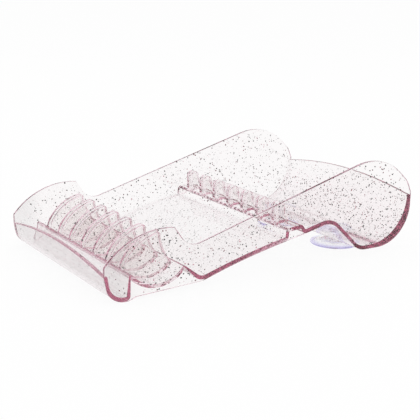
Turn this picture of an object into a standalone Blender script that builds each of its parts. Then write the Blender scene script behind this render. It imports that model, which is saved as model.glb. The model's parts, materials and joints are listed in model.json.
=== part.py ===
"""A scissors holder for a salon counter: an open tray of clear plastic on two suction cups.

A folded sheet runs from the front lip to the back lip between two side walls. Fins in a trough at
the front and on a ledge in the middle keep several pairs of scissors apart, and a deep scoop at the
back takes their finger rings. The fins are hollow, and open downwards through slots in the sheet.

X runs across the tray, Y from the front to the back and Z up. The origin is on the table under the
middle of the tray. Outlines are drawn in Y and Z, with Y counted from the front lip.
"""

import math

import bmesh
import bpy
from mathutils import Matrix, Vector
from mathutils.geometry import intersect_line_line_2d

# Moulding
tray_width = 0.1200
wall_thickness = 0.0020
sheet_thickness = 0.0022
seam_gap = 0.0003

# Front lip and gutter, by the middle of the sheet
front_lip_height = 0.0145
front_lip_rise = 0.0050
gutter_length = 0.0128
gutter_front_lean = 0.0022
gutter_back_lean = 0.0015
gutter_front_radius = 0.0097
gutter_back_radius = 0.0014

# Trough that the front fins stand in
trough_length = 0.0312
trough_radius = 0.0205
trough_bottom = 0.0052

# Bay between the trough and the ledge
bay_drop_length = 0.0106
bay_bottom = 0.0045
bay_bottom_radius = 0.0060
bay_length = 0.0558
bay_climb = 0.0143
bay_crown = 0.0009

# Ledge that the middle fins stand on
ledge_height = 0.0047
ledge_length = 0.0096
ledge_climb = 0.0008
ledge_lean = 0.0004
ledge_back_length = 0.0022
ledge_back_drop = 0.0031
ledge_radius = 0.0013

# Hump and back scoop
hump_length = 0.0192
hump_climb = 0.0045
hump_radius = 0.0130
hump_back_length = 0.0215
scoop_bottom = 0.00535
scoop_front_radius = 0.0110
scoop_length = 0.0370
scoop_back_radius = 0.0281
scoop_back_outer_radius = 0.0229
cup_before_back_lip = 0.0293
back_lip_height = 0.0336
back_lip_rise = 0.0054

# Side walls, with heights above the table
wall_foot_rise = 0.0015
wall_foot_run = 0.0038
wall_foot_radius = 0.0030
wall_front_height = 0.0194
wall_front_crown = 0.0057
wall_peak_height = 0.0352
wall_peak_before_crest = 0.0062
wall_notch_height = 0.0228
wall_notch_after_crest = 0.0026
wall_notch_radius = 0.0100
wall_crown_height = 0.0612
wall_crown_before_back = 0.0230
wall_crown_radius = 0.0350
wall_shoulder_height = 0.0420
wall_shoulder_before_back = 0.0029
wall_shoulder_radius = 0.0120
wall_back_height = 0.0352
wall_back_radius = 0.0005

# Fins
fin_count = 7
fin_thickness = 0.0050
fin_wall = 0.0013
front_fin_height = 0.0304
front_fin_front_setback = 0.0004
front_fin_back_setback = 0.0012
front_fin_ridge_after_middle = 0.0054
front_fin_nose_length = 0.0020
front_fin_nose_drop = 0.0022
front_fin_nose_crown = 0.0008
front_fin_front_crown = 0.0035
front_fin_back_hollow = 0.0013
middle_fin_height = 0.0088
middle_fin_setback = 0.0008
middle_fin_top_length = 0.0060
middle_fin_top_climb = 0.0014
middle_fin_top_crown = 0.0023
middle_fin_back_hollow = 0.0005

# Suction cups
cup_from_tray_side = 0.0320
cup_radius = 0.0150
cup_rim_width = 0.0012
cup_rim_height = 0.0009
cup_hollow_depth = 0.0020
cup_shoulder_radius = 0.0052
cup_skirt_sag = 0.0004
neck_radius = 0.0033
neck_clearance = 0.0003
head_radius = 0.0096
head_flare = 0.0031
head_rim_height = 0.0005
head_dome = 0.0011

# Facets: the largest distance between a curve and its facets, their largest angle, and their counts
facet_error = 0.00005
facet_angle = math.radians(22)
sharp_angle = math.radians(30)
trough_facets = 14
bay_facets = 8
lip_facets = 14
fin_facets = 10
wall_front_facets = 12
cup_facets = 6
cup_segments = 40

# How far a cutter reaches past each face, and how near two points are to be one
cutter_reach = 0.0030
weld_distance = 0.00001

# Places along Y, by the middle of the sheet
half_sheet = sheet_thickness / 2
gutter_back_y = half_sheet + gutter_length
trough_front_y = gutter_back_y + gutter_back_lean
trough_middle_y = trough_front_y + trough_length / 2
crest_y = trough_front_y + trough_length
bay_bottom_y = crest_y + bay_drop_length
ledge_front_y = bay_bottom_y + bay_length
ledge_top_y = ledge_front_y + ledge_lean
ledge_back_y = ledge_top_y + ledge_length
hump_foot_y = ledge_back_y + ledge_back_length
hump_y = hump_foot_y + hump_length
scoop_front_y = hump_y + hump_back_length
back_lip_y = scoop_front_y + scoop_length
tray_length = back_lip_y + half_sheet
cup_y = back_lip_y - cup_before_back_lip

# Heights of the sheet's middle
trough_centre_z = trough_bottom + trough_radius
crest_z = trough_centre_z - math.sqrt(trough_radius**2 - (trough_length / 2) ** 2)
ledge_foot_z = bay_bottom + bay_climb
ledge_top_z = ledge_foot_z + ledge_height
ledge_back_z = ledge_top_z + ledge_climb
hump_foot_z = ledge_back_z - ledge_back_drop
hump_z = hump_foot_z + hump_climb

# Across the tray. The fins leave slots of one width between them and beside the walls
inner_half_width = tray_width / 2 - wall_thickness - seam_gap
cup_x = tray_width / 2 - cup_from_tray_side
slot_width = (tray_width - 2 * wall_thickness - fin_count * fin_thickness) / (fin_count + 1)
fin_pitch = slot_width + fin_thickness
core_thickness = fin_thickness - 2 * fin_wall


def left_of(direction):
    """The unit vector a quarter turn to the left of a direction in Y and Z."""
    return Vector((-direction[1], direction[0])).normalized()


def arc(start, end, rise, facets):
    """Points on an arc from start, up to but without end. It bows by rise to the left of the chord."""
    start, end = Vector(start), Vector(end)
    half_chord = (end - start).length / 2
    along = (end - start).normalized()
    across = left_of(along) * math.copysign(1, rise)
    radius = (half_chord**2 + rise**2) / (2 * abs(rise))
    centre = (start + end) / 2 - across * (radius - abs(rise))
    half_angle = math.asin(half_chord / radius)
    angles = [half_angle * (2 * step / facets - 1) for step in range(facets)]
    return [centre + radius * (math.sin(angle) * along + math.cos(angle) * across) for angle in angles]


def turned(point, centre, angle):
    return centre + Matrix.Rotation(angle, 2) @ (point - centre)


def rounded(corners):
    """The line through corners of (y, z) or (y, z, radius), each bent to its radius."""
    points = [Vector(corners[0][:2])]
    for before, corner, after in zip(corners, corners[1:], corners[2:]):
        here = Vector(corner[:2])
        radius = corner[2] if len(corner) > 2 else 0
        arriving = (here - Vector(before[:2])).normalized()
        leaving = (Vector(after[:2]) - here).normalized()
        turn = math.atan2(arriving.cross(leaving), arriving.dot(leaving))
        if radius == 0 or turn == 0:
            points.append(here)
            continue
        start = here - arriving * radius * math.tan(abs(turn) / 2)
        centre = start + left_of(arriving) * math.copysign(radius, turn)
        facet = min(facet_angle, 2 * math.acos(1 - facet_error / radius))
        facets = math.ceil(abs(turn) / facet)
        points += [turned(start, centre, turn * step / facets) for step in range(facets + 1)]
    return points + [Vector(corners[-1][:2])]


def beside(points, distance):
    """The line moved sideways, to the left of its direction for a positive distance."""
    normals = [left_of(after - before) for before, after in zip(points, points[1:])]
    pairs = zip([normals[0]] + normals, normals + [normals[-1]])
    return [point + distance * (a + b) / (1 + a.dot(b)) for point, (a, b) in zip(points, pairs)]


def crossed(first, second):
    """Two lines that cross, as one line that changes over where they do."""
    for i in reversed(range(len(first) - 1)):
        for j in range(len(second) - 1):
            meeting = intersect_line_line_2d(first[i], first[i + 1], second[j], second[j + 1])
            if meeting:
                return first[: i + 1] + [meeting] + second[j + 1 :]
    return first + second


def stretch(line, low_y, high_y):
    """The part of a line between two places in Y. The line's Y grows all the way."""
    ends = []
    for y in (low_y, high_y):
        start, end = next(pair for pair in zip(line, line[1:]) if pair[0].x <= y <= pair[1].x)
        ends.append(start.lerp(end, (y - start.x) / (end.x - start.x)))
    return [ends[0]] + [point for point in line if low_y < point.x < high_y] + [ends[1]]


def capped(first, corner, second):
    """Two lines that end and start at one distance from a corner, joined by an arc around it."""
    opening = (first[-1] - corner).angle_signed(second[0] - corner)
    facets = math.ceil(abs(opening) / facet_angle)
    between = [turned(first[-1], corner, -opening * step / facets) for step in range(1, facets)]
    return first + between + second


def gutter_corners():
    """The front lip and the gutter, as far as the gutter's back."""
    return [
        (half_sheet, front_lip_height),
        (half_sheet + gutter_front_lean, half_sheet, gutter_front_radius),
        (gutter_back_y, half_sheet, gutter_back_radius),
    ]


def trough_line():
    front, back = (trough_front_y, crest_z), (crest_y, crest_z)
    return arc(front, back, trough_bottom - crest_z, trough_facets) + [Vector(back)]


def bay_corners():
    """The rising floor of the bay, from its low front end to the foot of the ledge."""
    start = (bay_bottom_y, bay_bottom)
    slope = arc(start, (ledge_front_y, ledge_foot_z), bay_crown, bay_facets)
    return [(*start, bay_bottom_radius)] + slope[1:]


def back_corners(scoop_radius):
    """The hump, the scoop and the back lip, with the radius of the scoop's rising back."""
    return [
        (hump_foot_y, hump_foot_z, ledge_radius),
        (hump_y, hump_z, hump_radius),
        (scoop_front_y, scoop_bottom, scoop_front_radius),
        (back_lip_y, scoop_bottom, scoop_radius),
        (back_lip_y, back_lip_height),
    ]


def floor_line(scoop_radius):
    ledge = [
        (ledge_front_y, ledge_foot_z, ledge_radius),
        (ledge_top_y, ledge_top_z, ledge_radius),
        (ledge_back_y, ledge_back_z, ledge_radius),
    ]
    return rounded([(crest_y, crest_z)] + bay_corners() + ledge + back_corners(scoop_radius))


def sheet_sides():
    """The upper and the lower outline of the folded sheet, both from the front to the back.

    The sheet is thicker where the scoop rises, because the scoop's outer radius is smaller there.
    """
    gutter_line = rounded(gutter_corners() + [(trough_front_y, crest_z)])
    lines = [gutter_line, trough_line(), floor_line(scoop_back_radius)]
    upper, middle, back = (beside(line, half_sheet) for line in lines)
    for line, above in zip(lines[1:], (middle, back)):
        upper = capped(upper, line[0], above)
    lines[-1] = floor_line(scoop_back_outer_radius)
    lower, middle, back = (beside(line, -half_sheet) for line in lines)
    return upper, crossed(crossed(lower, middle), back)


def wall_outline():
    """A side wall. Its foot follows the underside of the sheet, but runs straight under the trough."""
    foot = (gutter_back_y + wall_foot_run, half_sheet + wall_foot_rise, wall_foot_radius)
    corners = gutter_corners() + [foot] + bay_corners() + back_corners(scoop_back_outer_radius)
    below = beside(rounded(corners), -half_sheet)
    above = rounded(
        [
            (tray_length, back_lip_height),
            (tray_length, wall_back_height, wall_back_radius),
            (tray_length - wall_shoulder_before_back, wall_shoulder_height, wall_shoulder_radius),
            (tray_length - wall_crown_before_back, wall_crown_height, wall_crown_radius),
            (crest_y + wall_notch_after_crest, wall_notch_height, wall_notch_radius),
            (crest_y - wall_peak_before_crest, wall_peak_height),
        ]
    )
    front_top = (0, wall_front_height)
    front = arc(above[-1], front_top, -wall_front_crown, wall_front_facets) + [Vector(front_top)]
    return below + above[1:-1] + front


def fin_outline(foot, sides):
    """A fin seen from the side: its foot from front to back, then its back, top and front."""
    back, top, front = sides
    return foot + back[1:-1] + top[:-1] + front[:-1]


def core_outline(back, top, front, bottom):
    """A fin's hollow seen from the side: its back, roof and front, and straight down to its bottom."""
    roof = crossed(crossed(back, top), front)
    return roof + [Vector((roof[-1].x, bottom)), Vector((roof[0].x, bottom))]


def front_fin_outlines():
    """A front fin and its hollow, from the side. The foot follows the trough and the crest before it."""
    floor_top = stretch(sheet_sides()[0], gutter_back_y, crest_y)
    foot_front_y = trough_front_y + front_fin_front_setback
    foot = stretch(beside(floor_top, seam_gap), foot_front_y, crest_y - front_fin_back_setback)
    ridge_y = trough_middle_y + front_fin_ridge_after_middle
    ridge = (ridge_y, front_fin_height)
    nose = (ridge_y + front_fin_nose_length, front_fin_height - front_fin_nose_drop)
    sides = [
        arc(foot[-1], nose, front_fin_back_hollow, fin_facets) + [Vector(nose)],
        arc(nose, ridge, -front_fin_nose_crown, fin_facets // 2) + [Vector(ridge)],
        arc(ridge, foot[0], -front_fin_front_crown, fin_facets) + [foot[0]],
    ]
    inner_sides = [beside(side, fin_wall) for side in sides]
    core = core_outline(*inner_sides, trough_bottom - half_sheet - cutter_reach)
    return fin_outline(foot, sides), core


def middle_fin_outlines():
    """A middle fin and its hollow, from the side. The foot lies along the top of the ledge.

    The hollow starts behind the front of the ledge.
    """
    slope = ledge_climb / ledge_length
    rest = half_sheet * math.hypot(1, slope) + seam_gap
    front_y = ledge_front_y - half_sheet + middle_fin_setback
    foot_front = Vector((front_y, ledge_top_z + rest + (front_y - ledge_top_y) * slope))
    back_y = ledge_back_y - middle_fin_setback
    foot_back = Vector((back_y, ledge_back_z + rest - middle_fin_setback * slope))
    shoulder = Vector((front_y, foot_front.y + middle_fin_height))
    nape = shoulder + Vector((middle_fin_top_length, middle_fin_top_climb))
    sides = [
        arc(foot_back, nape, middle_fin_back_hollow, fin_facets // 2) + [nape],
        arc(nape, shoulder, -middle_fin_top_crown, fin_facets) + [shoulder],
        [shoulder, foot_front],
    ]
    core_front_y = ledge_top_y + half_sheet + seam_gap
    core = core_outline(
        beside(sides[0], fin_wall),
        beside(sides[1], fin_wall),
        [Vector((core_front_y, nape.y)), Vector((core_front_y, foot_front.y))],
        ledge_top_z - half_sheet - cutter_reach,
    )
    return fin_outline([foot_front, foot_back], sides), core


def cap_bow(radius, height):
    """How far a round cap bows out from the straight line between its top and its rim."""
    return math.hypot(radius, height) / 2 * math.tan(math.atan2(height, radius) / 2)


def cup_outline():
    """Half of a suction cup's section as (radius, z), from the top of its head down its outer side."""
    under_sheet = scoop_bottom - half_sheet - seam_gap
    over_sheet = scoop_bottom + half_sheet + seam_gap
    head_edge_z = over_sheet + head_flare
    head_top_z = head_edge_z + head_rim_height
    inner_radius = cup_radius - cup_rim_width
    head_top, head_edge = (0, head_top_z + head_dome), (head_radius, head_top_z)
    shoulder, rim = (cup_shoulder_radius, under_sheet), (cup_radius, cup_rim_height)
    inner_rim, hollow_top = (inner_radius, 0), (0, cup_hollow_depth)
    head = arc(head_top, head_edge, cap_bow(head_radius, head_dome), cup_facets)
    skirt = arc(shoulder, rim, -cup_skirt_sag, cup_facets)
    hollow = arc(inner_rim, hollow_top, -cap_bow(inner_radius, cup_hollow_depth), cup_facets)
    neck = [(head_radius, head_edge_z), (neck_radius, over_sheet), (neck_radius, under_sheet)]
    return head + [head_edge] + neck + skirt + [rim, (cup_radius, 0)] + hollow + [hollow_top]


def new_object(name, mesh_builder, location, material):
    mesh = bpy.data.meshes.new(name)
    bmesh.ops.recalc_face_normals(mesh_builder, faces=mesh_builder.faces)
    mesh_builder.to_mesh(mesh)
    mesh_builder.free()
    mesh.shade_smooth()
    mesh.set_sharp_from_angle(angle=sharp_angle)
    part = bpy.data.objects.new(name, mesh)
    part.location = location
    part.data.materials.append(material)
    bpy.context.scene.collection.objects.link(part)
    return part


def plastic(name, colour, roughness):
    material = bpy.data.materials.new(name)
    material.use_nodes = True
    shader = material.node_tree.nodes["Principled BSDF"]
    shader.inputs["Base Color"].default_value = (*colour, 1)
    shader.inputs["Roughness"].default_value = roughness
    shader.inputs["Metallic"].default_value = 0
    material.diffuse_color = (*colour, 1)
    return material


def plate(outline, low_x, high_x):
    """A flat outline in Y and Z, made solid between two places in X."""
    builder = bmesh.new()
    ends = [[builder.verts.new((x, *point)) for point in outline] for x in (low_x, high_x)]
    for loop in ends:
        builder.faces.new(loop)
    for here in range(len(outline)):
        after = (here + 1) % len(outline)
        builder.faces.new((ends[0][here], ends[0][after], ends[1][after], ends[1][here]))
    return builder


def lip_height(x, low, rise):
    return low + rise * (1 - (x / inner_half_width) ** 2)


def sheet_body():
    """The folded sheet. Its two lips are higher in the middle than at the side walls."""
    upper, lower = sheet_sides()
    builder = bmesh.new()
    lips = [(front_lip_height, front_lip_rise), (back_lip_height, back_lip_rise)]
    places = [inner_half_width * (2 * step / lip_facets - 1) for step in range(lip_facets + 1)]
    sides = []
    for line in (upper, lower):
        flanks = [
            [builder.verts.new((x, *point)) for point in line[1:-1]] for x in (places[0], places[-1])
        ]
        tips = [
            [builder.verts.new((x, end[0], lip_height(x, *lip))) for x in places]
            for end, lip in zip((line[0], line[-1]), lips)
        ]
        for tip, near in zip(tips, (0, -1)):
            builder.faces.new(tip + [flanks[1][near], flanks[0][near]])
        for here in range(len(flanks[0]) - 1):
            corner = flanks[0][here], flanks[0][here + 1], flanks[1][here + 1], flanks[1][here]
            builder.faces.new(corner)
        sides.append((flanks, tips))
    (upper_flanks, upper_tips), (lower_flanks, lower_tips) = sides
    for over, under in zip(upper_tips, lower_tips):
        for here in range(lip_facets):
            builder.faces.new((over[here], over[here + 1], under[here + 1], under[here]))
    for end in (0, -1):
        over = [upper_tips[0][end]] + upper_flanks[end] + [upper_tips[1][end]]
        under = [lower_tips[0][end]] + lower_flanks[end] + [lower_tips[1][end]]
        builder.faces.new(over + under[::-1])
    return builder


def turned_body(outline, segments):
    """A half section of (radius, z) turned about the Z axis."""
    builder = bmesh.new()
    points = [builder.verts.new((point[0], 0, point[1])) for point in outline]
    edges = [builder.edges.new(pair) for pair in zip(points, points[1:])]
    bmesh.ops.spin(
        builder, geom=points + edges, cent=(0, 0, 0), axis=(0, 0, 1), angle=math.tau, steps=segments
    )
    bmesh.ops.remove_doubles(builder, verts=builder.verts, dist=weld_distance)
    return builder


def new_cutter(name, builder, location):
    cutter = new_object(name, builder, location, clear_plastic)
    cutter.hide_render = True
    cutter.display_type = "WIRE"
    return cutter


def cut(part, cutter):
    hole = part.modifiers.new(cutter.name, "BOOLEAN")
    hole.object = cutter
    hole.operation = "DIFFERENCE"
    hole.solver = "EXACT"


def cup_hole_cutter(name, x):
    builder = bmesh.new()
    bmesh.ops.create_cone(
        builder,
        cap_ends=True,
        segments=cup_segments,
        radius1=neck_radius + neck_clearance,
        radius2=neck_radius + neck_clearance,
        depth=sheet_thickness + 2 * cutter_reach,
    )
    return new_cutter(name, builder, (x, cup_world_y, scoop_bottom))


for old in list(bpy.data.objects):
    bpy.data.objects.remove(old, do_unlink=True)

clear_plastic = plastic("clear_plastic", (0.88, 0.80, 0.82), 0.12)
fin_plastic = plastic("fin_plastic", (0.84, 0.66, 0.71), 0.12)
cup_plastic = plastic("cup_plastic", (0.60, 0.58, 0.80), 0.25)

lip_world_y = -tray_length / 2
cup_world_y = lip_world_y + cup_y
sides = {"left": -1, "right": 1}

floor = new_object("tray_floor", sheet_body(), (0, lip_world_y, 0), clear_plastic)
for side, sign in sides.items():
    cut(floor, cup_hole_cutter(f"hole_for_{side}_cup", sign * cup_x))

for side, sign in sides.items():
    wall = plate(wall_outline(), -wall_thickness / 2, wall_thickness / 2)
    wall_x = sign * (tray_width - wall_thickness) / 2
    new_object(f"side_wall_{side}", wall, (wall_x, lip_world_y, 0), clear_plastic)

for number in range(fin_count):
    fin_x = (number - (fin_count - 1) / 2) * fin_pitch
    for row, (outline, core) in (("front", front_fin_outlines()), ("middle", middle_fin_outlines())):
        name = f"{row}_fin_{number + 1}"
        place = (fin_x, lip_world_y, 0)
        fin = new_object(name, plate(outline, -fin_thickness / 2, fin_thickness / 2), place, fin_plastic)
        core_plate = plate(core, -core_thickness / 2, core_thickness / 2)
        cutter = new_cutter(f"core_of_{name}", core_plate, place)
        cut(fin, cutter)
        cut(floor, cutter)

for side, sign in sides.items():
    cup = turned_body(cup_outline(), cup_segments)
    new_object(f"suction_cup_{side}", cup, (sign * cup_x, cup_world_y, 0), cup_plastic)
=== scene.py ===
"""The looks of a scissors holder: a tray of clear, faintly pink plastic with glitter in it, on suction cups.

The tray is one moulding. Its outlines are read from the frame's solids, given finer curves and rounded
edges, and joined into one closed skin, because light runs through the real one without a seam.
"""

import json
import math
import random

import bmesh
import bpy
from mathutils import Euler, Matrix, Vector
from mathutils.bvhtree import BVHTree
from mathutils.geometry import intersect_line_line_2d


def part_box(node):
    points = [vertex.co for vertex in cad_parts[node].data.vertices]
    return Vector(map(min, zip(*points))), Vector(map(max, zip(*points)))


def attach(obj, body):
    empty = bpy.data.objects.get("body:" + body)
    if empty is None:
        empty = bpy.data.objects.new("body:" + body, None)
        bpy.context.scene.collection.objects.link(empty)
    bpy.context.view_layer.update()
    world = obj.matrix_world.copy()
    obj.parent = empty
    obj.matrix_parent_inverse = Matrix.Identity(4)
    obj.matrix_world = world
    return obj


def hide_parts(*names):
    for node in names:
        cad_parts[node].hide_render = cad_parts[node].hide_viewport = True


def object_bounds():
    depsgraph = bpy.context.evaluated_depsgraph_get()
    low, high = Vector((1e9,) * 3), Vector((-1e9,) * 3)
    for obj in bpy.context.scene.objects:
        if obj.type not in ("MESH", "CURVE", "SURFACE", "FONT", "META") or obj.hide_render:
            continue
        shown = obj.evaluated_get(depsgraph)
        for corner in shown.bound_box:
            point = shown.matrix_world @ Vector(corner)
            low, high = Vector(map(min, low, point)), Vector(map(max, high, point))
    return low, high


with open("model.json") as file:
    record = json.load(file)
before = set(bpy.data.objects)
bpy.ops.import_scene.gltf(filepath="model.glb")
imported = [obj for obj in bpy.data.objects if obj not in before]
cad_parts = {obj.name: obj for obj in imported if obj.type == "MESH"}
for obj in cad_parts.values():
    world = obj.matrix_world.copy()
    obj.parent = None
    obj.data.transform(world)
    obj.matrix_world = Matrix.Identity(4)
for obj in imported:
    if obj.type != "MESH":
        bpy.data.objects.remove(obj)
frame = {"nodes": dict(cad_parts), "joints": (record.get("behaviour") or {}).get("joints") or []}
cad_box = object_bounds()

# Frame, in metres: the seams between its nodes, and how near two points are to be one
seam = 0.0003
weld_distance = 0.000002

# Curves: a bend sharper than corner_angle stays a corner, others are drawn in facets of facet_angle
corner_angle = math.radians(32)
facet_angle = math.radians(5)
corner_facet_angle = math.radians(15)
straight_angle = math.radians(0.2)
smooth_angle = math.radians(34)
flat_across = 0.9999
round_steps = 4

# Moulding: at a crest sharper than fold_angle the sheet is only fold_thickness thick
sheet_thickness = 0.0022
edge_radius = 0.00045
lip_edge_radius = 0.00060
fin_edge_radius = 0.00055
fin_nose_radius = 0.00060
hollow_edge_radius = 0.00020
sheet_inset = 0.00002
sheet_reach_into_wall = 0.0010
fold_angle = math.radians(60)
fold_thickness = 0.0006
fin_sink = 0.0016
lip_stations = 32

# Suction cups
cup_segments = 96
cup_edge_radius = 0.00035

# Plastic: how much of each colour a metre of it takes away, and the tints, roughness and waves of its skin.
# Painted shade greys the tray's front end in place of the darker surroundings seen through it; it, and the
# tint of the cups' rims, comes or goes between two distances.
moulding_absorption = (4.4, 13.8, 10.2)
cup_absorption = (7.0, 8.0, 4.0)
plastic_ior = 1.47
clear_tint = (0.982, 0.985, 0.978)
front_painted_shade = (0.90, 0.90, 0.90)
front_painted_shade_reach = (0.006, 0.020)
cup_tint = (0.60, 0.56, 0.90)
cup_tint_radii = (0.0105, 0.0150)
clear_roughness = 0.02
cup_roughness = (0.03, 0.12)
ripple_size = 0.006
ripple_height = 0.00003

# Flakes inside the plastic. Each part of the tray keeps its share of those tried, and over the length
# flake_rise they grow denser from the front end on. Skin that faces sideways more than fin_face is a fin's.
glitter_seed = 1
flake_count = 4400
flake_sides = 6
flake_radius = (0.00014, 0.00050)
flake_thickness = 0.00006
flake_tilt = math.radians(15)
flake_share = {"wall": 1, "sheet": 0.7, "fin": 0.25}
flake_rise = 0.035
fin_face = 0.5
foil_roughness = (0.2, 0.5)
foil_metallic = 0.3

# Finer specks in the skin, at most one in a cell, and the random number from which each colour applies
speck_cell = 0.0016
speck_radius = 0.0003
speck_share = 0.6
speck_roughness = 0.4
glitter_colours = [(0, (0.020, 0.017, 0.018)), (0.70, (0.30, 0.02, 0.05)), (0.90, (0.95, 0.45, 0.55))]

# Camera, fitted to the tray's straight and parallel edges, and how often light may turn in the plastic
camera_place = (0.4714, -0.3066, 0.1694)
camera_angles = (math.radians(75.395), math.radians(-1.087), math.radians(57.423))
camera_lens = 83.6
sensor_width = 36
bounces = 96

# Studio. The sky is white from the horizon up to sky_band, and dims from there to zenith_light.
floor_size = 12
white = (1, 1, 1, 1)
floor_colour = (0.94, 0.94, 0.94, 1)
floor_glow = 0.93
sky_band = 0.15
zenith_light = 0.72
lamp_height = 1.2
lamp_size = 1.5
lamp_power = 4


def left_of(direction):
    """The unit vector a quarter turn to the left of a direction in Y and Z."""
    return Vector((-direction[1], direction[0])).normalized()


def bend_at(before, here, after):
    """The signed turn of a line at a point, positive to the left."""
    first, second = here - before, after - here
    return math.atan2(first.cross(second), first.dot(second))


def around(loop):
    """Each point of a closed loop with the points before and after it."""
    return list(zip(loop[-1:] + loop[:-1], loop, loop[1:] + loop[:1]))


def section_of(node, x):
    """The outline in Y and Z where a plane across X cuts a node, anticlockwise, without straight points."""
    builder = bmesh.new()
    builder.from_mesh(frame["nodes"][node].data)
    bmesh.ops.remove_doubles(builder, verts=builder.verts, dist=weld_distance)
    everything = [*builder.verts, *builder.edges, *builder.faces]
    bmesh.ops.bisect_plane(
        builder, geom=everything, dist=weld_distance, plane_co=(x, 0, 0), plane_no=(1, 0, 0), clear_outer=True
    )
    rim = {edge for edge in builder.edges if edge.is_boundary}
    corner = min((vert for edge in rim for vert in edge.verts), key=lambda vert: tuple(vert.co.yz))
    points = []
    while rim:
        edge = next(edge for edge in corner.link_edges if edge in rim)
        rim.remove(edge)
        points.append(Vector(corner.co.yz))
        corner = edge.other_vert(corner)
    builder.free()
    if sum(bend_at(*three) for three in around(points)) < 0:
        points.reverse()
    bends = [abs(bend_at(*three)) for three in around(points)]
    return [point for point, bend in zip(points, bends) if bend > straight_angle]


def refined(loop):
    """The loop with finer facets, along curves that pass through its points and keep its corners."""
    bends = [abs(bend_at(*three)) for three in around(loop)]
    finer = []
    for i, start in enumerate(loop):
        after = (i + 1) % len(loop)
        end = loop[after]
        leg = end - start
        leaving = arriving = leg.normalized()
        bend = 0
        if bends[i] < corner_angle:
            leaving = (end - loop[i - 1]).normalized()
            bend += bends[i] / 2
        if bends[after] < corner_angle:
            arriving = (loop[(i + 2) % len(loop)] - start).normalized()
            bend += bends[after] / 2
        steps = max(1, math.ceil(bend / facet_angle))
        for t in (step / steps for step in range(steps)):
            straight = start * (1 + 2 * t) * (1 - t) ** 2 + end * t**2 * (3 - 2 * t)
            bow = leaving * t * (1 - t) ** 2 - arriving * t**2 * (1 - t)
            finer.append(straight + bow * leg.length)
    return finer


def with_round_corners(loop, radii):
    """The loop with each of its corners bent to that corner's own radius, where its sides leave room."""
    points = []
    for (before, here, after), radius in zip(around(loop), radii):
        bend = bend_at(before, here, after)
        if radius == 0 or abs(bend) < corner_angle:
            points.append(here)
            continue
        room = min((here - before).length, (after - here).length) / 2
        setback = min(room, radius * math.tan(abs(bend) / 2))
        arriving = (here - before).normalized()
        start = here - arriving * setback
        centre = start + left_of(arriving) * setback / math.tan(bend / 2)
        steps = math.ceil(abs(bend) / corner_facet_angle)
        turns = [Matrix.Rotation(bend * step / steps, 2) for step in range(steps + 1)]
        points += [centre + turn @ (start - centre) for turn in turns]
    return points


def inset(loop, distances):
    """The loop moved inwards, each point by its own distance."""
    moved = []
    for (before, here, after), distance in zip(around(loop), distances):
        first, second = left_of(here - before), left_of(after - here)
        moved.append(here + distance * (first + second) / (1 + first.dot(second)))
    return moved


def distance_to(point, loop):
    """How far a point in Y and Z lies from a closed loop."""
    distances = []
    for _, start, end in around(loop):
        leg = end - start
        share = min(1, max(0, (point - start).dot(leg) / leg.length_squared))
        distances.append((point - start - share * leg).length)
    return min(distances)


def with_thin_folds(loop):
    """The loop with the underside drawn up into each crest, so that the sheet is fold_thickness there."""
    moved = []
    for before, here, after in around(loop):
        if bend_at(before, here, after) > -fold_angle:
            moved.append(here)
            continue
        upwards = (left_of(here - before) + left_of(after - here)).normalized()
        ray = (here + upwards * weld_distance, here + upwards * 4 * sheet_thickness)
        crossings = [intersect_line_line_2d(*ray, start, end) for _, start, end in around(loop)]
        thickness = min((crossing - here).length for crossing in crossings if crossing)
        moved.append(here + upwards * (thickness - fold_thickness))
    return moved


def new_body(name, builder):
    """An object made from a mesh builder."""
    bmesh.ops.remove_doubles(builder, verts=builder.verts, dist=weld_distance)
    bmesh.ops.recalc_face_normals(builder, faces=builder.faces)
    mesh = bpy.data.meshes.new(name)
    builder.to_mesh(mesh)
    builder.free()
    body = bpy.data.objects.new(name, mesh)
    bpy.context.scene.collection.objects.link(body)
    return body


def skin_through(name, rings):
    """A closed body through rings of as many points each, with a flat face on the first and the last."""
    builder = bmesh.new()
    rows = [[builder.verts.new(point) for point in ring] for ring in rings]
    for row, next_row in zip(rows, rows[1:]):
        for corners in zip(row, row[1:] + row[:1], next_row[1:] + next_row[:1], next_row):
            builder.faces.new(corners)
    builder.faces.new(rows[0])
    builder.faces.new(rows[-1])
    return new_body(name, builder)


def rounded_plate(name, loop, sides):
    """A plate with rounded edges. Each side is its place in X and a radius for each point of the loop."""
    rings = []
    for (x, radii), inwards in zip(sides, (1, -1)):
        half = []
        for step in range(round_steps + 1):
            angle = math.pi / 2 * step / round_steps
            drawn_in = inset(loop, [radius * (1 - math.sin(angle)) for radius in radii])
            depths = [inwards * radius * (1 - math.cos(angle)) for radius in radii]
            half.append([(x + depth, *point) for depth, point in zip(depths, drawn_in)])
        rings += half[::inwards]
    return skin_through(name, rings)


def sheet_body(outline):
    """The folded sheet. Its two lips rise towards the middle of the tray, and its ends lie in the walls."""
    low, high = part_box("tray_floor")
    tip_depth = 1.1 * sheet_thickness
    tip_height = 1.5 * lip_edge_radius
    tips = []
    for tip_y in (low.y, high.y):
        at_wall = max(point.y for point in outline if abs(point.x - tip_y) < sheet_thickness)
        node_points = (vert.co for vert in frame["nodes"]["tray_floor"].data.vertices)
        at_middle = max(point.z for point in node_points if abs(point.y - tip_y) < sheet_thickness)
        tips.append((tip_y, at_wall, at_middle - at_wall))

    def rise_of(point):
        for tip_y, tip_z, rise in tips:
            if abs(point.x - tip_y) < tip_depth and point.y > tip_z - tip_height:
                return rise
        return 0

    radii = [lip_edge_radius if rise_of(point) else 0 for point in outline]
    loop = refined(with_round_corners(outline, radii))
    loop = inset(loop, [sheet_inset] * len(loop))
    reach = high.x + seam + sheet_reach_into_wall
    rings = []
    for step in range(lip_stations + 1):
        x = reach * (2 * step / lip_stations - 1)
        swell = max(0, 1 - (x / high.x) ** 2)
        rings.append([(x, point.x, point.y + rise_of(point) * swell) for point in loop])
    return skin_through("tray_moulding", rings)


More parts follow.
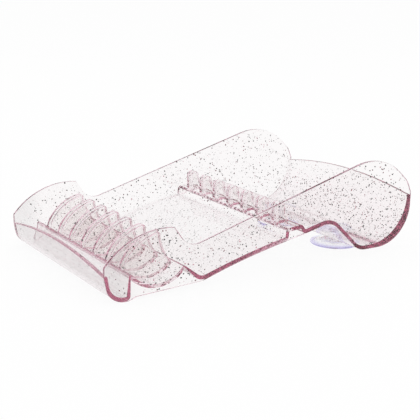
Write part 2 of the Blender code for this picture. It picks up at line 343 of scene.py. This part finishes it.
def wall_body(side, outline):
    """A side wall. Its rim is rounded outside all round, and inside where the sheet doesn't join it."""
    node = f"side_wall_{side}"
    low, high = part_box(node)
    loop = refined(section_of(node, (low.x + high.x) / 2))
    outside = [edge_radius] * len(loop)
    inside = [edge_radius if distance_to(point, outline) > seam / 2 else 0 for point in loop]
    radii = (outside, inside) if side == "left" else (inside, outside)
    return rounded_plate(f"{side}_wall", loop, zip((low.x, high.x), radii))


def fin_body(node, outline):
    """A fin without its hollow, and with its foot sunk into the sheet."""
    low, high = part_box(node)
    coarse = section_of(node, low.x)
    at_foot = [distance_to(point, outline) < sheet_thickness / 2 for point in coarse]
    sunk = [point - Vector((0, fin_sink if foot else 0)) for point, foot in zip(coarse, at_foot)]
    loop = refined(with_round_corners(sunk, [0 if foot else fin_nose_radius for foot in at_foot]))
    radii = [fin_edge_radius] * len(loop)
    return rounded_plate(f"{node}_body", loop, [(low.x, radii), (high.x, radii)])


def hollow_body(node):
    """The space inside a fin, from its roof straight down through the sheet."""
    low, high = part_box(node)
    outside = section_of(node, low.x)
    through = section_of(node, (low.x + high.x) / 2)

    def in_roof(point):
        """Whether only the section through the hollow has this point."""
        return all((point - other).length > weld_distance for other in outside)

    start = next(i for i, point in enumerate(through) if in_roof(point) and not in_roof(through[i - 1]))
    roof = [point for point in through[start:] + through[:start] if in_roof(point)]
    below = low.z - 2 * sheet_thickness
    coarse = roof[::-1] + [Vector((roof[0].x, below)), Vector((roof[-1].x, below))]
    loop = refined(with_round_corners(coarse, [fin_nose_radius] * len(coarse)))
    radii = [hollow_edge_radius] * len(loop)
    across = [vert.co.x for vert in frame["nodes"][node].data.vertices]
    inside = [x for x in across if low.x + seam < x < high.x - seam]
    return rounded_plate(f"{node}_hollow", loop, [(min(inside), radii), (max(inside), radii)])


def cup_node(joint):
    """The name of the node that turns at a joint."""
    return "suction_cup_" + joint["child"].removesuffix("_cup")


def cup_outline(joint):
    """Half of a cup's section as (radius, height), from the top down its outer side, with round corners."""
    axis = Vector(joint["pos_m"])
    coarse = [point - Vector((axis.y, 0)) for point in section_of(cup_node(joint), axis.x)]
    loop = refined(with_round_corners(coarse, [cup_edge_radius] * len(coarse)))
    top = max(range(len(loop)), key=lambda i: loop[i].y)
    half = [point for point in (loop[top:] + loop[:top])[::-1] if point.x > weld_distance]
    return [Vector((0, half[0].y))] + half + [Vector((0, half[-1].y))]


def hole_body(joint):
    """A rod through the sheet, a little wider than the neck of the cup that turns there."""
    low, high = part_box(cup_node(joint))
    neck_radius = min(point.x for point in cup_outline(joint)[1:-1] if low.z < point.y - seam)
    builder = bmesh.new()
    bmesh.ops.create_cone(
        builder,
        cap_ends=True,
        segments=cup_segments,
        radius1=neck_radius + seam,
        radius2=neck_radius + seam,
        depth=high.z - low.z,
        matrix=Matrix.Translation((low + high) / 2),
    )
    return new_body("hole", builder)


def combine(base, others, operation):
    """Joins the other bodies to the base, or cuts them from it, and removes them."""
    group = bpy.data.collections.new("operands")
    for other in others:
        group.objects.link(other)
    change = base.modifiers.new(operation, "BOOLEAN")
    change.operation = operation
    change.operand_type = "COLLECTION"
    change.collection = group
    change.solver = "MANIFOLD"
    evaluated = base.evaluated_get(bpy.context.evaluated_depsgraph_get())
    mesh = bpy.data.meshes.new_from_object(evaluated)
    base.modifiers.clear()
    base.data = mesh
    for other in others:
        bpy.data.objects.remove(other)
    bpy.data.collections.remove(group)


def shade(piece):
    """Smooth shading up to smooth_angle, with the faces straight across X kept flat."""
    piece.data.shade_smooth()
    piece.data.set_sharp_from_angle(angle=smooth_angle)
    for face in piece.data.polygons:
        if abs(face.normal.x) > flat_across:
            face.use_smooth = False


def add_node(tree, kind, inputs=(), **properties):
    """A new shader node with its properties set, and its inputs set or linked by name or number."""
    made = tree.nodes.new("ShaderNode" + kind)
    for name, value in properties.items():
        setattr(made, name, value)
    for name, value in dict(inputs).items():
        if isinstance(value, bpy.types.NodeSocket):
            tree.links.new(value, made.inputs[name])
        else:
            made.inputs[name].default_value = value
    return made


def new_material(name):
    """An empty node material and its output."""
    material = bpy.data.materials.new(name)
    material.use_nodes = True
    material.node_tree.nodes.clear()
    return material, material.node_tree, add_node(material.node_tree, "OutputMaterial")


def absorb(tree, output, absorption):
    """Fills the body with plastic that takes this much of red, green and blue away in each metre."""
    density = max(absorption)
    inside = add_node(tree, "VolumeAbsorption", {"Density": density})
    inside.inputs["Color"].default_value = (*(1 - taken / density for taken in absorption), 1)
    tree.links.new(inside.outputs["Volume"], output.inputs["Volume"])


def give_surface(tree, output, inputs):
    """Gives a material a principled surface with these inputs."""
    shader = add_node(tree, "BsdfPrincipled", inputs)
    tree.links.new(shader.outputs["BSDF"], output.inputs["Surface"])


def spread(tree, number, low, high):
    """A number from 0 to 1, moved to lie between low and high."""
    inputs = {"Value": number, "To Min": low, "To Max": high}
    return add_node(tree, "MapRange", inputs).outputs["Result"]


def mixed(tree, share, first, second, blend="MIX"):
    """The first colour with a share of the second."""
    inputs = {"Factor": share, "A": first, "B": second}
    return add_node(tree, "Mix", inputs, data_type="RGBA", blend_type=blend).outputs["Result"]


def glitter_cells(tree, place):
    """How far a place is from the middle of the cell around it, and the cell's three random numbers."""
    cells = add_node(tree, "TexVoronoi", {"Vector": place, "Scale": 1 / speck_cell, "Randomness": 1})
    numbers = add_node(tree, "SeparateColor", {"Color": cells.outputs["Color"]})
    return cells.outputs["Distance"], numbers.outputs


def specks(tree, distance, number):
    """1 inside the specks, which a share of the cells have, and 0 elsewhere."""
    sizes = {"From Min": 1 - speck_share, "From Max": 1, "To Min": 0, "To Max": speck_radius / speck_cell}
    reach = add_node(tree, "MapRange", {"Value": number, **sizes}).outputs["Result"]
    return add_node(tree, "Math", {0: distance, 1: reach}, operation="LESS_THAN").outputs["Value"]


def ripples(tree, place):
    """The slight waviness of a moulded skin."""
    waves = add_node(tree, "TexNoise", {"Vector": place, "Scale": 1 / ripple_size, "Detail": 1})
    bump = add_node(tree, "Bump", {"Strength": 1, "Distance": ripple_height, "Height": waves.outputs["Fac"]})
    return bump.outputs["Normal"]


def with_painted_front_shade(tree, place, colour):
    """The colour, with painted shade greying it towards the front end of the tray."""
    near, far = (cad_box[0].y + reach for reach in front_painted_shade_reach)
    along = add_node(tree, "SeparateXYZ", {"Vector": place}).outputs["Y"]
    inputs = {"Value": along, "From Min": far, "From Max": near}
    share = add_node(tree, "MapRange", inputs, interpolation_type="SMOOTHSTEP").outputs["Result"]
    return mixed(tree, share, colour, (*front_painted_shade, 1), "MULTIPLY")


def stepped_colours(tree, number):
    """One of the glitter's colours for each random number."""
    ramp = add_node(tree, "ValToRGB", {"Fac": number})
    ramp.color_ramp.interpolation = "CONSTANT"
    while len(ramp.color_ramp.elements) < len(glitter_colours):
        ramp.color_ramp.elements.new(1)
    for stop, (position, colour) in zip(ramp.color_ramp.elements, glitter_colours):
        stop.position = position
        stop.color = (*colour, 1)
    return ramp.outputs["Color"]


def flake_foil():
    """Foil whose colour and roughness change from cell to cell, and so from flake to flake."""
    material, tree, output = new_material("flake_foil")
    place = add_node(tree, "TexCoord").outputs["Object"]
    _, numbers = glitter_cells(tree, place)
    surface = {
        "Base Color": stepped_colours(tree, numbers["Green"]),
        "Metallic": foil_metallic,
        "Roughness": spread(tree, numbers["Red"], *foil_roughness),
    }
    give_surface(tree, output, surface)
    return material


def glitter_plastic():
    """Clear, faintly pink plastic with fine specks in its skin."""
    material, tree, output = new_material("glitter_plastic")
    place = add_node(tree, "TexCoord").outputs["Object"]
    distance, numbers = glitter_cells(tree, place)
    speck = specks(tree, distance, numbers["Red"])
    colour = mixed(tree, speck, (*clear_tint, 1), stepped_colours(tree, numbers["Green"]))
    clear = add_node(tree, "Math", {0: 1, 1: speck}, operation="SUBTRACT")
    surface = {
        # Base colour with painted shade greying the tray's front end
        "Base Color": with_painted_front_shade(tree, place, colour),
        "Roughness": spread(tree, speck, clear_roughness, speck_roughness),
        "Transmission Weight": clear.outputs["Value"],
        "IOR": plastic_ior,
        "Normal": ripples(tree, place),
    }
    give_surface(tree, output, surface)
    absorb(tree, output, moulding_absorption)
    return material


def cup_plastic():
    """Soft plastic that looks bluer towards the rim."""
    material, tree, output = new_material("cup_plastic")
    place = add_node(tree, "TexCoord").outputs["Object"]
    across = add_node(tree, "VectorMath", {0: place, 1: (1, 1, 0)}, operation="MULTIPLY")
    radius = add_node(tree, "VectorMath", {0: across.outputs["Vector"]}, operation="LENGTH")
    inner, outer = cup_tint_radii
    inputs = {"Value": radius.outputs["Value"], "From Min": inner, "From Max": outer}
    share = add_node(tree, "MapRange", inputs).outputs["Result"]
    cloud = add_node(tree, "TexNoise", {"Vector": place, "Scale": 1 / ripple_size})
    surface = {
        "Base Color": mixed(tree, share, (*clear_tint, 1), (*cup_tint, 1)),
        "Roughness": spread(tree, cloud.outputs["Fac"], *cup_roughness),
        "Transmission Weight": 1,
        "IOR": plastic_ior,
        "Normal": ripples(tree, place),
    }
    give_surface(tree, output, surface)
    absorb(tree, output, cup_absorption)
    return material


def tray_moulding():
    """The whole tray as one closed skin, with holes for the cups' necks and hollow fins."""
    outline = with_thin_folds(section_of("tray_floor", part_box("tray_floor")[0].x))
    fins = [node for node in frame["nodes"] if "_fin_" in node]
    walls = [wall_body(side, outline) for side in ("left", "right")]
    holes = [hole_body(joint) for joint in frame["joints"]]
    moulding = sheet_body(outline)
    combine(moulding, walls + [fin_body(fin, outline) for fin in fins], "UNION")
    combine(moulding, holes + [hollow_body(fin) for fin in fins], "DIFFERENCE")
    shade(moulding)
    moulding.data.materials.clear()
    moulding.data.materials.append(glitter_plastic())
    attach(moulding, "tray")
    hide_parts(*(node for node in frame["nodes"] if not node.startswith("suction_cup")))
    return moulding


def flake_corners(chance, place, radius, outwards):
    """The corners of a flake nearly square to a direction: its two peaks, and those around its rim."""
    tilt = Euler((chance.gauss(0, flake_tilt), chance.gauss(0, flake_tilt), chance.uniform(0, math.tau)))
    turn = outwards.to_track_quat("Z", "Y").to_matrix() @ tilt.to_matrix()
    peak = turn @ Vector((0, 0, flake_thickness / 2))
    steps = [Matrix.Rotation(math.tau * i / flake_sides, 3, "Z") for i in range(flake_sides)]
    rim = [turn @ step @ Vector((radius, 0, 0)) for step in steps]
    return [place + offset for offset in (-peak, peak, *rim)]


def glitter_flakes(moulding):
    """Flat flakes inside the moulding, lying nearly along its skin."""
    chance = random.Random(glitter_seed)
    builder = bmesh.new()
    builder.from_mesh(moulding.data)
    skin = BVHTree.FromBMesh(builder)
    builder.free()
    wall_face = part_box("tray_floor")[1].x
    flakes = []
    while len(flakes) < flake_count:
        place = Vector([chance.uniform(*ends) for ends in zip(*cad_box)])
        radius = chance.uniform(*flake_radius)
        if place.y - cad_box[0].y < flake_rise * chance.random():
            continue
        nearest, outwards, _, depth = skin.find_nearest(place)
        if abs(place.x) > wall_face:
            share = flake_share["wall"]
        else:
            share = flake_share["fin" if abs(outwards.x) > fin_face else "sheet"]
        if depth > radius and outwards.dot(nearest - place) > 0 and chance.random() < share:
            flakes.append(flake_corners(chance, place, radius, outwards))
    faces = []
    for first in range(0, (flake_sides + 2) * flake_count, flake_sides + 2):
        rim = [first + 2 + i for i in range(flake_sides)]
        for here, after in zip(rim, rim[1:] + rim[:1]):
            faces += [(first + 1, here, after), (first, after, here)]
    mesh = bpy.data.meshes.new("glitter")
    mesh.from_pydata([corner for flake in flakes for corner in flake], [], faces)
    mesh.materials.append(flake_foil())
    glitter = bpy.data.objects.new("glitter", mesh)
    bpy.context.scene.collection.objects.link(glitter)
    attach(glitter, "tray")


def suction_cup(joint, material):
    """A cup turned about its joint's axis. Its points on the axis become one when the body is made."""
    outline = [Vector((point.x, 0, point.y)) for point in cup_outline(joint)]
    turns = [Matrix.Rotation(math.tau * i / cup_segments, 3, "Z") for i in range(cup_segments)]
    builder = bmesh.new()
    rows = [[builder.verts.new(turn @ point) for point in outline] for turn in turns]
    for row, next_row in zip(rows, rows[1:] + rows[:1]):
        for corners in zip(row, row[1:], next_row[1:], next_row):
            builder.faces.new(corners)
    cup = new_body(cup_node(joint) + "_turned", builder)
    cup.location = joint["pos_m"]
    shade(cup)
    cup.data.materials.append(material)
    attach(cup, joint["child"])
    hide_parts(cup_node(joint))


def pale_floor():
    """A pale floor that glows white where the camera, a reflection or the plastic shows it."""
    builder = bmesh.new()
    bmesh.ops.create_grid(builder, x_segments=1, y_segments=1, size=floor_size / 2)
    ground = new_body("floor", builder)
    ground.location.z = cad_box[0].z
    material, tree, output = new_material("floor")
    rays = add_node(tree, "LightPath").outputs
    seen = rays["Is Camera Ray"]
    for kind in ("Is Glossy Ray", "Is Transmission Ray"):
        seen = add_node(tree, "Math", {0: seen, 1: rays[kind]}, operation="MAXIMUM").outputs["Value"]
    share = add_node(tree, "Math", {0: seen, 1: floor_glow}, operation="MULTIPLY")
    matt = add_node(tree, "BsdfDiffuse", {"Color": floor_colour}).outputs["BSDF"]
    glow = add_node(tree, "Emission", {"Color": white, "Strength": 1}).outputs["Emission"]
    mix = add_node(tree, "MixShader", {0: share.outputs["Value"], 1: matt, 2: glow})
    tree.links.new(mix.outputs["Shader"], output.inputs["Surface"])
    ground.data.materials.append(material)


def soft_sky():
    """A white sky, dimmer towards its top."""
    world = bpy.data.worlds.new("studio")
    world.use_nodes = True
    tree = world.node_tree
    tree.nodes.clear()
    direction = add_node(tree, "SeparateXYZ", {"Vector": add_node(tree, "TexCoord").outputs["Generated"]})
    ends = {"From Min": sky_band, "From Max": 1, "To Min": 1, "To Max": zenith_light}
    inputs = {"Value": direction.outputs["Z"], **ends}
    light = add_node(tree, "MapRange", inputs, interpolation_type="SMOOTHSTEP")
    sky = add_node(tree, "Background", {"Color": white, "Strength": light.outputs["Result"]})
    tree.links.new(sky.outputs["Background"], add_node(tree, "OutputWorld").inputs["Surface"])
    bpy.context.scene.world = world


def lamp_overhead():
    """A large, weak lamp above the tray."""
    lamp = bpy.data.lights.new("softbox", "AREA")
    lamp.shape = "SQUARE"
    lamp.size = lamp_size
    lamp.energy = lamp_power
    softbox = bpy.data.objects.new("softbox", lamp)
    softbox.location = (0, 0, lamp_height)
    bpy.context.scene.collection.objects.link(softbox)


def photographer():
    """The camera at the photograph's angle, and what the plastic asks of the render."""
    scene = bpy.context.scene
    lens = bpy.data.cameras.new("camera")
    lens.lens = camera_lens
    lens.sensor_width = sensor_width
    camera = bpy.data.objects.new("camera", lens)
    camera.location = camera_place
    camera.rotation_euler = camera_angles
    scene.collection.objects.link(camera)
    scene.camera = camera
    scene.view_settings.view_transform = "Standard"
    scene.cycles.max_bounces = bounces
    scene.cycles.glossy_bounces = bounces
    scene.cycles.transmission_bounces = bounces


photographer()
glitter_flakes(tray_moulding())
cup_material = cup_plastic()
for joint in frame["joints"]:
    suction_cup(joint, cup_material)
pale_floor()
soft_sky()
lamp_overhead()
